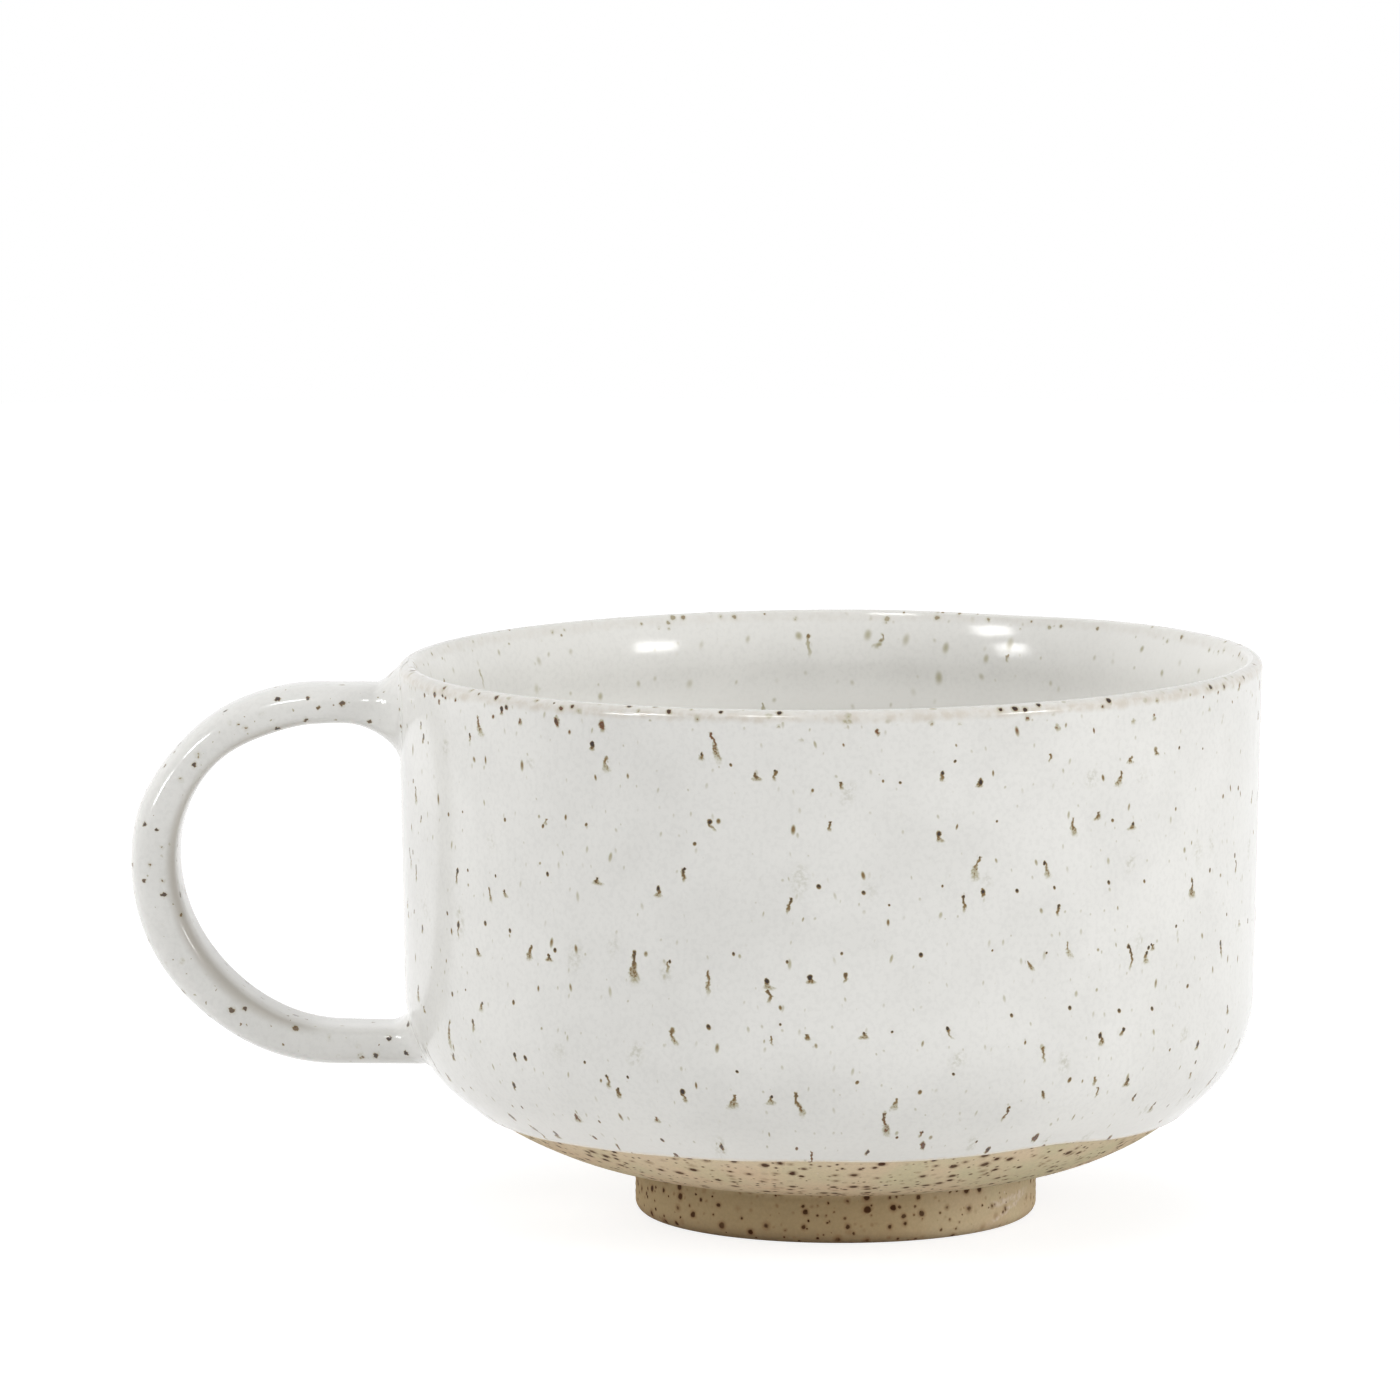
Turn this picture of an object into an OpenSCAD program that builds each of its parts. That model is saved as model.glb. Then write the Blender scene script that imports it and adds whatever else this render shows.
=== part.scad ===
// Soup mug: a stoneware bowl on a turned foot ring, with a strap handle luted to its wall and a glaze coat.
// Millimetres, Z up. The bowl's axis is Z, the foot stands on z = 0 and the handle stands out towards -X.

/* [Bowl] */
// Diameter across the outside of the lip
rim_d = 125; // [110:1:140]
// Height from the table to the top of the lip
bowl_h = 81; // [74:0.5:92]
// Thickness of the wall with the glaze on both of its sides
wall_t = 4; // [3.2:0.1:5]
// Lean of the wall outwards, in degrees
wall_lean_angle = 0.95; // [0:0.05:3]
// Radius of the turn from the wall into the base
turn_r = 19.5; // [15:0.5:24]
// Angle that the turn takes up before the flatter belly begins, in degrees
turn_angle = 46; // [42:1:52]
// Radius of the flatter curve from the turn to the foot
belly_r = 46.5; // [42:0.5:52]

/* [Foot] */
// Diameter of the foot ring
foot_d = 58.4; // [52:0.2:66]
// Width of the foot ring, from its outside to its inside
foot_w = 6.5; // [5:0.1:9]
// Height of the bowl's flat underside above the table
foot_h = 6.5; // [4:0.1:9]
// Rounding of the ring's outer bottom edge
foot_outer_edge_r = 1.7; // [1:0.1:3.5]
// Rounding of the ring's inner bottom edge
foot_inner_edge_r = 1; // [0.5:0.1:1.4]

/* [Glaze] */
// Thickness of the glaze coat
glaze_t = 0.35; // [0.2:0.05:0.6]
// Height above the table where the outside glaze ends
glaze_line_h = 15.4; // [12:0.2:18]

/* [Handle] */
// How far the handle stands out beyond the lip
handle_out = 39; // [36:0.5:46]
// Distance from the top of the lip down to the middle of the strap's upper end
handle_drop = 6.7; // [6:0.1:12]
// Radius of the upper bend, along the middle of the strap
upper_bend_r = 23.3; // [18:0.1:26]
// Radius of the lower bend, along the middle of the strap
lower_bend_r = 26.7; // [22:0.1:30]
// Width of the strap
strap_w = 13; // [10:0.5:18]
// Thickness of the strap at its upper end
strap_top_t = 5.2; // [4:0.1:7]
// Thickness of the strap half way down the loop
strap_mid_t = 6.9; // [5:0.1:9]
// Thickness of the strap at its lower end
strap_low_t = 5.6; // [4:0.1:7]

/* [Handle joints] */
// Length of the upper joint, along the strap
upper_joint_l = 6; // [4:0.1:8]
// How far the upper joint spreads up towards the lip
upper_joint_rise = 3; // [1:0.1:4]
// How far the upper joint spreads down the wall
upper_joint_sag = 5; // [2:0.1:7]
// How far the upper joint spreads to each side
upper_joint_spread = 3.5; // [1:0.1:6]
// Length of the lower joint, along the strap
lower_joint_l = 4; // [2:0.1:6]
// How far the lower joint spreads up the wall and to each side
lower_joint_spread = 2.3; // [0.5:0.1:3]

/* [Hidden] */
$fn = 96;

clay_color = [0.70, 0.60, 0.46];
glaze_color = [0.88, 0.875, 0.85];

// How far a cutting shape runs past what it cuts
overrun = 1;
// How much larger a round is than what it runs into, so that the two cross and don't only touch
touch = 0.002;
// How far the belly's curve is carried on past its lowest point, inside the floor, in degrees
belly_past_angle = 5;
// Points round the strap, steps in each bend and steps along each joint
ring_count = 24;
bend_count = 14;
joint_count = 6;
// How round the strap is outside and inside the loop: 1 is an ellipse, and towards 0 it becomes a box
outer_round_share = 0.77;
inner_round_share = 0.46;
// The most of a straight run that a joint may take up
joint_run_share = 0.9;

// Centres of the turn and of the belly, as [radius, height]
lip_r = wall_t / 2;
belly_angle = wall_lean_angle + turn_angle;
belly_z = foot_h + belly_r;
turn_z = belly_z - (belly_r - turn_r) * sin(belly_angle);
wall_l = (bowl_h - lip_r - turn_z + (turn_r - lip_r) * sin(wall_lean_angle)) / cos(wall_lean_angle);
turn_x = rim_d / 2 - lip_r - (turn_r - lip_r) * cos(wall_lean_angle) - wall_l * sin(wall_lean_angle);
turn_c = [turn_x, turn_z];
belly_c = [turn_x - (belly_r - turn_r) * cos(belly_angle), belly_z];
belly_reach = 2 * belly_r;
glaze_line_angle = asin((belly_z - glaze_line_h) / belly_r);

// Radius of the clay's outside at a height
turn_clay_r = turn_r - glaze_t;
belly_clay_r = belly_r - glaze_t;
wall_low_z = turn_z - turn_clay_r * sin(wall_lean_angle);
turn_low_z = turn_z - turn_clay_r * sin(belly_angle);
function wall_r(z) = turn_x + turn_clay_r / cos(wall_lean_angle) + (z - turn_z) * tan(wall_lean_angle);
function turn_at(z) = turn_x + sqrt(turn_clay_r ^ 2 - (turn_z - z) ^ 2);
function belly_at(z) = belly_c.x + sqrt(belly_clay_r ^ 2 - (belly_z - z) ^ 2);
function clay_r(z) = z > wall_low_z ? wall_r(z) : z > turn_low_z ? turn_at(z) : belly_at(z);

// The loop of the handle, along the middle of the strap
upper_z = bowl_h - handle_drop;
loop_z = upper_z - upper_bend_r;
lower_z = loop_z - lower_bend_r;
loop_x = strap_mid_t / 2 - rim_d / 2 - handle_out;
upper_bend_x = loop_x + upper_bend_r;
lower_bend_x = loop_x + lower_bend_r;
upper_wall_r = clay_r(upper_z);
lower_wall_r = clay_r(lower_z);
upper_l = min(upper_joint_l, joint_run_share * (-upper_bend_x - upper_wall_r));
lower_l = min(lower_joint_l, joint_run_share * (-lower_bend_x - lower_wall_r));
// How far a joint is carried on behind the wall's face, where the bowl cuts it off
seat_l = strap_mid_t;

// The strap swells from both ends towards the middle of the loop
strap_swell = strap_mid_t - (strap_top_t + strap_low_t) / 2;
function strap_t(fall) = strap_top_t + (strap_low_t - strap_top_t) * fall + strap_swell * sin(180 * fall);
function half_strap(z) = strap_t((upper_z - z) / (upper_z - lower_z)) / 2;

// A joint's spread fades along its length, and is whole behind the wall's face
function spread(d, l) = d < 0 ? 1 : (1 - d / l) ^ 2;

// A station of the strap: its centre, its outward direction and its reach outwards, inwards and to each side
function station(x, z, outward, out, in, side) =
    [[x, z], outward, half_strap(z) + out, half_strap(z) + in, strap_w / 2 + side];
function joint_steps(l) = concat([-seat_l], [for (i = [0:joint_count]) l * i / joint_count]);
function after_first(list) = [for (i = [1:len(list) - 1]) list[i]];
function backwards(list) = [for (i = [len(list) - 1:-1:0]) list[i]];
// All stations run from the upper joint round to the lower one, so that every sweep faces outwards
upper_stations = [
    for (d = joint_steps(upper_l))
        let (s = spread(d, upper_l))
            station(
                -upper_wall_r - d, upper_z, [0, 1],
                upper_joint_rise * s, upper_joint_sag * s, upper_joint_spread * s
            )
];
lower_stations = [
    for (d = backwards(joint_steps(lower_l)))
        let (s = lower_joint_spread * spread(d, lower_l))
            station(-lower_wall_r - d, lower_z, [0, -1], 0, s, s)
];
function bend(x, r, from) = [
    for (i = [0:bend_count])
        let (a = from + 90 * i / bend_count)
            station(x + r * cos(a), loop_z + r * sin(a), [cos(a), sin(a)], 0, 0, 0)
];
bend_stations = concat(bend(upper_bend_x, upper_bend_r, 90), after_first(bend(lower_bend_x, lower_bend_r, 180)));
strap_stations = concat([upper_stations[joint_count + 1]], bend_stations, [lower_stations[0]]);
handle_stations = concat(upper_stations, bend_stations, lower_stations);

// The points round one station, drawn in by a glaze coat where that is given
function ring(s, inset) = [
    for (i = [0:ring_count - 1])
        let (
            a = 360 * i / ring_count,
            round_share = sin(a) < 0 ? inner_round_share : outer_round_share,
            reach = (sin(a) < 0 ? s[3] : s[2]) - inset,
            v = reach * sign(sin(a)) * abs(sin(a)) ^ round_share,
            u = (s[4] - inset) * sign(cos(a)) * abs(cos(a)) ^ round_share
        )
            [s[0].x + v * s[1].x, u, s[0].y + v * s[1].y]
];

// A closed solid swept through the stations, with a flat cap at each end
module sweep(stations, inset) {
    rings = [for (s = stations) ring(s, inset)];
    last = len(rings) - 1;
    side_faces = [
        for (i = [0:last - 1], k = [0:ring_count - 1])
            let (
                a = i * ring_count + k,
                b = i * ring_count + (k + 1) % ring_count,
                c = a + ring_count,
                d = b + ring_count
            )
                each [[a, b, d], [a, d, c]]
    ];
    first_cap = [for (k = [ring_count - 1:-1:0]) k];
    last_cap = [for (k = [0:ring_count - 1]) last * ring_count + k];
    polyhedron(points = [for (r = rings) each r], faces = concat(side_faces, [first_cap, last_cap]));
}

// Half section of the whole bowl, filled, drawn in by an inset and raised past the wall's top by a rise
module bowl_section(inset, rise = 0) {
    floor_z = foot_h + inset;
    turn_below = turn_c - turn_r / 2 * [0, 1];
    wall_low = turn_c + turn_r / 2 * [cos(wall_lean_angle), -sin(wall_lean_angle)];
    wall_top = wall_low + (wall_l + rise) * [sin(wall_lean_angle), cos(wall_lean_angle)];
    translate(turn_c) rotate(-wall_lean_angle) square([turn_r - inset, wall_l + rise]);
    translate(turn_c) circle(turn_r - inset + 2 * touch);
    intersection() {
        translate(belly_c) circle(belly_r - inset + touch);
        polygon([
            belly_c,
            belly_c - belly_reach * [sin(belly_past_angle), cos(belly_past_angle)],
            belly_c + belly_reach * [cos(belly_angle), -sin(belly_angle)]
        ]);
    }
    polygon([[0, floor_z], [belly_c.x, floor_z], turn_below, wall_low, wall_top, [0, wall_top.y]]);
}

// Half section of a shell between two insets, closed over the lip by a round
module shell_section(outer, inner) {
    difference() {
        bowl_section(outer);
        bowl_section(inner, overrun);
    }
    translate(turn_c) rotate(-wall_lean_angle) translate([turn_r - (outer + inner) / 2, wall_l])
        circle((inner - outer) / 2 + touch);
}

// Half section of the glaze on both sides of the clay
module glaze_section() {
    difference() {
        shell_section(0, wall_t);
        shell_section(glaze_t, wall_t - glaze_t);
    }
}

// The inner half of the wall, up to the crown of the lip
module inner_half() {
    bowl_section(lip_r, lip_r + overrun);
}

// What stays bare below the glaze line, cut square to the belly
module bare_section() {
    polygon([
        [0, belly_c.y],
        belly_c,
        belly_c + belly_reach * [cos(glaze_line_angle), -sin(glaze_line_angle)],
        [0, belly_c.y - belly_reach]
    ]);
}

// Half section of the foot ring, carried on up into the bowl
module foot_section() {
    outer_x = foot_d / 2;
    inner_x = outer_x - foot_w;
    outer_edge_x = outer_x - foot_outer_edge_r;
    inner_edge_x = inner_x + foot_inner_edge_r;
    translate([inner_edge_x, 0]) square([outer_edge_x - inner_edge_x, belly_z]);
    translate([inner_x, foot_inner_edge_r]) square([foot_inner_edge_r, belly_z - foot_inner_edge_r]);
    translate([outer_edge_x, foot_outer_edge_r]) square([foot_outer_edge_r, belly_z - foot_outer_edge_r]);
    translate([inner_edge_x, foot_inner_edge_r]) circle(foot_inner_edge_r);
    translate([outer_edge_x, foot_outer_edge_r]) circle(foot_outer_edge_r);
}

// The bowl's clay with its inside filled, which cuts off what is luted to it
module bowl_block() {
    rotate_extrude() bowl_section(glaze_t, lip_r);
}

module bowl() {
    color(clay_color) rotate_extrude() shell_section(glaze_t, wall_t - glaze_t);
}

module foot_ring() {
    color(clay_color) rotate_extrude() difference() {
        foot_section();
        bowl_section(glaze_t);
    }
}

module handle_strap() {
    color(clay_color) sweep(strap_stations, glaze_t);
}

module upper_handle_joint() {
    color(clay_color) difference() {
        sweep(upper_stations, glaze_t);
        bowl_block();
    }
}

module lower_handle_joint() {
    color(clay_color) difference() {
        sweep(lower_stations, glaze_t);
        bowl_block();
    }
}

module outer_glaze() {
    color(glaze_color) difference() {
        rotate_extrude() difference() {
            glaze_section();
            inner_half();
            bare_section();
        }
        sweep(upper_stations, 0);
        sweep(lower_stations, 0);
    }
}

module inner_glaze() {
    color(glaze_color) rotate_extrude() intersection() {
        glaze_section();
        inner_half();
    }
}

module handle_glaze() {
    color(glaze_color) difference() {
        sweep(handle_stations, 0);
        sweep(handle_stations, glaze_t);
        bowl_block();
    }
}

bowl();
foot_ring();
handle_strap();
upper_handle_joint();
lower_handle_joint();
outer_glaze();
inner_glaze();
handle_glaze();
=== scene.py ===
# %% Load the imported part
import math

import bpy
import numpy as np
from mathutils import Matrix

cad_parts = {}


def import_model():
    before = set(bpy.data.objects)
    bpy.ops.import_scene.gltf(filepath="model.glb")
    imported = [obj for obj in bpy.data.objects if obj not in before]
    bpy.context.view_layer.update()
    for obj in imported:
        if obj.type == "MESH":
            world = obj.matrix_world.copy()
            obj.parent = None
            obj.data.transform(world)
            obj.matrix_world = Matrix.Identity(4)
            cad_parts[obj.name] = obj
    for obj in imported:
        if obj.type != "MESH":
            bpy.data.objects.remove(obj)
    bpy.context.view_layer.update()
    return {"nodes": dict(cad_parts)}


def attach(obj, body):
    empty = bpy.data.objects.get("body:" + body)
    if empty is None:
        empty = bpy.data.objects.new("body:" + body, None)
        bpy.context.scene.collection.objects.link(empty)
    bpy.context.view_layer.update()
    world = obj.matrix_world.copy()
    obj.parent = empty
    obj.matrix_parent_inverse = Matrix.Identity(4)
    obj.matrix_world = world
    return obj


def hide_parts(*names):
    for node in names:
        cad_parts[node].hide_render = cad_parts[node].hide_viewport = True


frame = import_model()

print("nodes:", ", ".join(sorted(frame["nodes"])))

# %% [markdown]
# # A stoneware soup mug, dressed in Blender
# The mug is thrown, turned, given a strap handle and dipped in a white glaze, so nearly all of it is a
# surface of revolution with small faults of the hand in it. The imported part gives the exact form. This
# lesson makes each piece again as a fine mesh with those faults, and then gives it the look of fired clay
# and glaze. Lengths are written in millimetres, as on a drawing, and are turned into metres where a mesh
# is made.

# %% Sizes of the bowl
MM = 0.001
RIM_D = 125.0
BOWL_H = 81.0
WALL_T = 4.0
WALL_LEAN = 0.95
TURN_R = 19.5
TURN_ANGLE = 46.0
BELLY_R = 46.5
FOOT_H = 6.5
GLAZE_T = 0.35
GLAZE_LINE_H = 15.4

lean = math.radians(WALL_LEAN)
belly_angle = WALL_LEAN + TURN_ANGLE
belly_z = FOOT_H + BELLY_R
turn_z = belly_z - (BELLY_R - TURN_R) * math.sin(math.radians(belly_angle))
lip_half = WALL_T / 2
wall_l = (BOWL_H - lip_half - turn_z + (TURN_R - lip_half) * math.sin(lean)) / math.cos(lean)
turn_x = RIM_D / 2 - lip_half - (TURN_R - lip_half) * math.cos(lean) - wall_l * math.sin(lean)
belly_x = turn_x - (BELLY_R - TURN_R) * math.cos(math.radians(belly_angle))
print(f"turn centre at radius {turn_x:.2f}, height {turn_z:.2f}")
print(f"belly centre at radius {belly_x:.2f}, height {belly_z:.2f}")

# %% [markdown]
# ## The outline of the bowl
# A potter draws a mug as one half outline. Ours runs from the crown of the lip down a wall that leans out
# a little, round a turn and along a flatter belly to the foot. It could be a curve object with a Screw
# modifier, but arcs and lines worked out here let the clay, the glaze and the inside share one outline at
# different depths.


# %% Arcs, lines and the outside of the bowl
def arc(centre, radius, start, end, count):
    """Points of an arc between two angles in degrees, as rows of radius and height."""
    angle = np.radians(np.linspace(start, end, count))
    return np.stack([centre[0] + radius * np.cos(angle), centre[1] + radius * np.sin(angle)], axis=1)


def line(start, end, count):
    """Points of a straight line between two places, without its two ends."""
    share = np.linspace(0, 1, count + 2)[1:-1, None]
    return np.array(start) * (1 - share) + np.array(end) * share


LIP_OUT_R = 1.4
wall_normal = np.array([math.cos(lean), -math.sin(lean)])
lip_wall_z = BOWL_H - LIP_OUT_R + LIP_OUT_R * wall_normal[1]
wall_foot_r = turn_x + TURN_R / math.cos(lean)
lip_wall_r = wall_foot_r + (lip_wall_z - turn_z) * math.tan(lean)
lip_centre = np.array([lip_wall_r, lip_wall_z]) - LIP_OUT_R * wall_normal
turn_centre = np.array([turn_x, turn_z])
belly_centre = np.array([belly_x, belly_z])


def outside(inset, end_angle, counts):
    """The outside from the crown of the lip down to an angle on the belly, drawn in by an inset."""
    lip_count, wall_count, turn_count, belly_count = counts
    lip = arc(lip_centre, LIP_OUT_R - inset, 90, -WALL_LEAN, lip_count)
    turn = arc(turn_centre, TURN_R - inset, -WALL_LEAN, -belly_angle, turn_count)
    belly = arc(belly_centre, BELLY_R - inset, -belly_angle, -end_angle, belly_count)
    return np.vstack([lip, line(lip[-1], turn[0], wall_count), turn, belly[1:]])


full_outside = outside(0, 90, counts=(14, 44, 24, 40))
print(f"widest radius {full_outside[:, 0].max():.2f} mm, crown at {full_outside[:, 1].max():.2f} mm")

# %% [markdown]
# ## The inside of the bowl
# Inside, the wall is pared towards the lip, so that the edge is thin to drink from. That shows as a band
# of light along the far side of the photograph. The wall then runs down evenly to a wide round floor.

# %% The inside, with its pared lip
LIP_IN_R = 0.7
PARE_R = 20.0
PARE_ANGLE = 25.0
pare = math.radians(PARE_ANGLE)
lip_in_depth = WALL_T - PARE_R + (PARE_R - LIP_IN_R) * math.cos(pare - lean)
lip_in_z = BOWL_H - LIP_IN_R
lip_in_r = wall_foot_r + (lip_in_z - turn_z) * math.tan(lean) - lip_in_depth / math.cos(lean)
lip_in_centre = np.array([lip_in_r, lip_in_z])
pare_centre = lip_in_centre + (PARE_R - LIP_IN_R) * np.array([math.cos(pare), -math.sin(pare)])


def inside(outset, counts):
    """The inside from the crown of the lip down to the axis, set back into the clay by an outset."""
    lip_count, pare_count, wall_count, turn_count, belly_count, floor_count = counts
    depth = WALL_T - outset
    lip = arc(lip_in_centre, LIP_IN_R - outset, 90, 180 - PARE_ANGLE, lip_count)
    pared = arc(pare_centre, PARE_R - outset, 180 - PARE_ANGLE, 180 - WALL_LEAN, pare_count)
    turn = arc(turn_centre, TURN_R - depth, -WALL_LEAN, -belly_angle, turn_count)
    belly = arc(belly_centre, BELLY_R - depth, -belly_angle, -90, belly_count)
    wall = line(pared[-1], turn[0], wall_count)
    bottom = line(belly[-1], (0, belly[-1][1]), floor_count)
    return np.vstack([lip, pared[1:], wall, turn, belly[1:], bottom, [[0, belly[-1][1]]]])


full_inside = inside(0, counts=(8, 14, 30, 20, 20, 8))
lip_flat = full_outside[0, 0] - full_inside[0, 0]
print(f"lip {lip_flat:.2f} mm flat on top, floor at {full_inside[-1, 1]:.2f} mm")

# %% [markdown]
# ## Faults of the hand
# No thrown bowl is quite true. This one's rim rises a little on the side away from the handle and dips at
# the back, the foot sits about a millimetre off the axis, and the fingers leave faint rings in the wall.
# One function moves every piece in the same way, so that the glaze stays on its clay.

# %% What the hand did to the turned form
RIM_RISE = 0.6
RIM_DIP = 0.3
DIP_AT = 1.12
DIP_W = 0.22
RISE_FROM = 20.0
FOOT_SHIFT = 1.07
SHIFTED = (6.0, 20.0)
OVAL = 0.08
OVAL_AT = 0.7
RING_DEPTH = 0.02
RING_STEP = 4.7
RINGS_BEGIN = (18.0, 34.0)
RINGS_END = (72.0, 79.0)
RINGS_OUT = (30.0, 50.0)


def ease(low, high, value):
    """A smooth rise from 0 to 1 between two values."""
    share = np.clip((value - low) / (high - low), 0, 1)
    return share * share * (3 - 2 * share)


def swell_at(value, middle, half_width):
    """A smooth swelling: 1 in its middle, and soon 0 to both sides."""
    return np.exp(-(((value - middle) / half_width) ** 2))


def swellings(value, rows):
    """Several swellings together, each given by its rise, its middle and its half width."""
    return sum(rise * swell_at(value, middle, half_width) for rise, middle, half_width in rows)


def thrown(radius, height, turn):
    """The place in space of a point of the turned form, with the faults of the hand."""
    upper = ease(RISE_FROM, BOWL_H, height)
    on_wall = ease(*RINGS_BEGIN, height) * (1 - ease(*RINGS_END, height)) * ease(*RINGS_OUT, radius)
    rings = np.sin(2 * np.pi * height / RING_STEP + turn) + 0.6 * np.sin(4.1 * height - turn + 1.3)
    out = radius + OVAL * upper * np.cos(2 * turn + OVAL_AT) + RING_DEPTH * on_wall * rings
    x = out * np.cos(turn) + FOOT_SHIFT * (1 - ease(*SHIFTED, height))
    y = out * np.sin(turn)
    rise = RIM_RISE * np.cos(turn) - RIM_DIP * swell_at(turn, DIP_AT, DIP_W)
    z = height + rise * upper * radius / (RIM_D / 2)
    return np.stack([x, y, z], axis=-1)


rim_left = thrown(RIM_D / 2, BOWL_H, np.pi)
rim_right = thrown(RIM_D / 2, BOWL_H, 0.0)
print(f"the rim stands {rim_right[2] - rim_left[2]:.2f} mm higher away from the handle")

# %% [markdown]
# ## Turning an outline into a mesh
# Blender's Screw modifier or the Spin operator would do this. Here each column of the mesh may have an
# outline of its own, because the edge of the glaze wavers round the mug, so the grid of points is written
# one by one.

# %% From columns of points to a closed mesh
COLUMNS = 240
CREASE = math.radians(50)
turns = np.linspace(-np.pi, np.pi, COLUMNS, endpoint=False)


def as_piece(name, points, faces):
    """A smooth mesh object in metres from points in millimetres, with its sharp edges kept."""
    mesh = bpy.data.meshes.new(name)
    mesh.from_pydata([tuple(p) for p in np.asarray(points) * MM], [], faces)
    mesh.polygons.foreach_set("use_smooth", [True] * len(mesh.polygons))
    mesh.set_sharp_from_angle(angle=CREASE)
    mesh.update()
    piece = bpy.data.objects.new(name, mesh)
    bpy.context.scene.collection.objects.link(piece)
    print(f"{name}: {len(mesh.vertices)} points, {len(mesh.polygons)} faces")
    return piece


def turned_piece(name, outlines):
    """A closed turned piece with one outline for each column: a loop, or a run from axis to axis."""
    on_axis = outlines[0, 0, 0] < 1e-6
    body = outlines[:, 1:-1] if on_axis else outlines
    rows = body.shape[1]
    points = list(thrown(body[:, :, 0], body[:, :, 1], turns[:, None]).reshape(-1, 3))
    faces = []
    for column in range(COLUMNS):
        here, there = column * rows, (column + 1) % COLUMNS * rows
        for row in range(rows - 1 if on_axis else rows):
            after = (row + 1) % rows
            faces.append((here + row, there + row, there + after, here + after))
    for row, end in ((0, 0), (rows - 1, -1)) if on_axis else ():
        pole = len(points)
        points.append(thrown(0.0, outlines[0, end, 1], 0.0))
        for column in range(COLUMNS):
            a, b = column * rows + row, (column + 1) % COLUMNS * rows + row
            faces.append((a, b, pole) if row else (b, a, pole))
    return as_piece(name, points, faces)


def all_round(outline):
    """The same outline for every column."""
    return np.repeat(np.asarray(outline)[None], COLUMNS, axis=0)


# %% [markdown]
# ## The clay bowl
# Under the glaze lies the thrown body. It shows only below the glaze line and inside the foot, where the
# turning tool has left fine rings. The whole body is made, and not only what shows, so that the piece is
# a closed solid.

# %% Clay of the bowl
SEAT = 0.02
TOOL_STEP = 1.15
TOOL_DEPTH = 0.03
TOOLED_BELOW = (14.0, 20.0)

clay_out = outside(GLAZE_T + SEAT, 90, counts=(8, 16, 18, 60))
clay_in = inside(GLAZE_T + SEAT, counts=(6, 8, 12, 12, 12, 6))
under = line(clay_out[-1], (0, clay_out[-1][1]), 36)
tooled = np.vstack([clay_out, under])
bare = 1 - ease(*TOOLED_BELOW, tooled[:, 1])
tooled[:, 1] += TOOL_DEPTH * bare * np.sin(2 * np.pi * tooled[:, 0] / TOOL_STEP)
bowl_run = np.vstack([[[0, clay_out[-1][1]]], tooled[::-1], clay_in])
clay_bowl = turned_piece("stoneware_bowl", all_round(bowl_run))

# %% [markdown]
# ## The foot ring
# The foot is turned from the thick base: an upright outside, a well-rounded lower edge, and a hollow
# inside the ring. A small round where it meets the belly catches a dark line in the photograph, so it is
# modelled.

# %% Clay of the foot
FOOT_D = 58.4
FOOT_W = 6.5
FOOT_OUT_R = 1.7
FOOT_IN_R = 1.0
FOOT_JOIN_R = 0.45
FOOT_JOIN_END = 83
FOOT_SINK = 0.6

foot_out = FOOT_D / 2
foot_in = foot_out - FOOT_W
clay_belly_r = BELLY_R - GLAZE_T
belly_over_foot = belly_z - math.sqrt(clay_belly_r ** 2 - (foot_out - belly_x) ** 2)
under_z = belly_z - clay_belly_r
join = arc((foot_out + FOOT_JOIN_R, belly_over_foot - FOOT_JOIN_R), FOOT_JOIN_R, 180, FOOT_JOIN_END, 7)
foot_loop = np.vstack([
    join[::-1],
    line(join[0], (foot_out, FOOT_OUT_R), 14),
    arc((foot_out - FOOT_OUT_R, FOOT_OUT_R), FOOT_OUT_R, 0, -90, 16),
    line((foot_out - FOOT_OUT_R, 0), (foot_in + FOOT_IN_R, 0), 6),
    arc((foot_in + FOOT_IN_R, FOOT_IN_R), FOOT_IN_R, -90, -180, 8),
    line((foot_in, FOOT_IN_R), (foot_in, under_z + FOOT_SINK), 10),
    [[foot_in, under_z + FOOT_SINK], [join[-1][0], join[-1][1] + FOOT_SINK]],
])
upright = ease(foot_out - 0.4, foot_out, foot_loop[:, 0]) * ease(1.0, 3.0, foot_loop[:, 1])
foot_loop[:, 0] += TOOL_DEPTH * upright * np.sin(2 * np.pi * foot_loop[:, 1] / TOOL_STEP)
turned_foot = turned_piece("turned_foot", all_round(foot_loop[::-1]))
print(f"the belly meets the foot at {belly_over_foot:.2f} mm")

# %% [markdown]
# ## The outer glaze
# The mug was held by its foot and dipped, so the glaze ends in a line that wavers a little round the
# belly. Melted glaze draws back from its edge and rounds off there. The coat is a thin closed shell with
# that rolled edge, which throws a fine shadow on the bare clay that paint alone would not.

# %% The glaze line and the outer coat
EDGE_RUN = 3.0
ROLL = 0.5
BEAD = 0.2
BEAD_AT = 0.9
BEAD_W = 0.6
LINE_LIFTS = ((1.15, -0.95, 0.23), (0.3, -1.66, 0.18), (0.5, 1.9, 0.4))


def glaze_line(turn):
    """Height of the edge of the outer glaze at an angle round the mug, up to half a turn to each side."""
    slow = 0.4 * np.cos(turn + 0.9) - 0.1
    quick = 0.05 * np.cos(9 * turn + 0.4) + 0.04 * np.cos(17 * turn + 2.2)
    return GLAZE_LINE_H + slow + swellings(turn, LINE_LIFTS) + quick


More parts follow.
